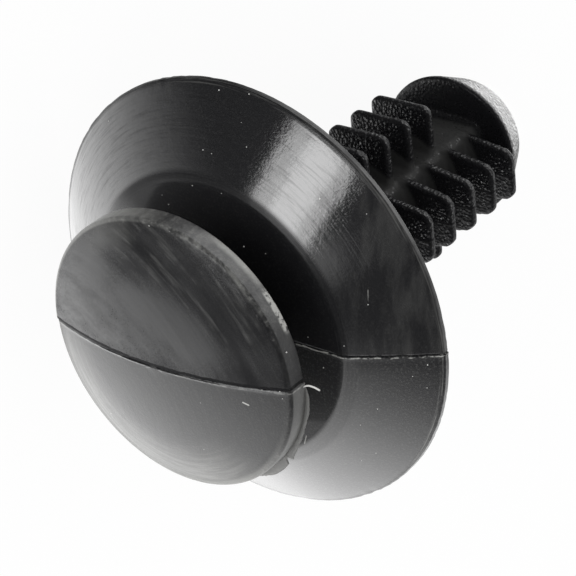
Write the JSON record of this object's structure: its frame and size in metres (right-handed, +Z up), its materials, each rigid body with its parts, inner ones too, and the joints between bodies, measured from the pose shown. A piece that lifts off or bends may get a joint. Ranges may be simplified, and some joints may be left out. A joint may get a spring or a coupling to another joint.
{
  "type": "molding retainer clip",
  "caption": "Push-in retainer clip for body moldings: low domed button on a short neck, hollow umbrella flange, fir-tree shank with staggered fins and a blunt nose.",
  "frame": {"origin": "middle of the bounding box, at the surface that the clip lies on", "axes": "+X along the clip's length, towards the domed head, which is also tilted up; +Z up from the surface; Y across, and y=0 is the mould seam plane and a mirror plane"},
  "size_m": [0.022, 0.018, 0.0168],
  "materials": {
    "black_plastic": "satin black, as moulded"
  },
  "bodies": {
    "root": {"retainer_clip": "black_plastic"}
  },
  "joints": []
}
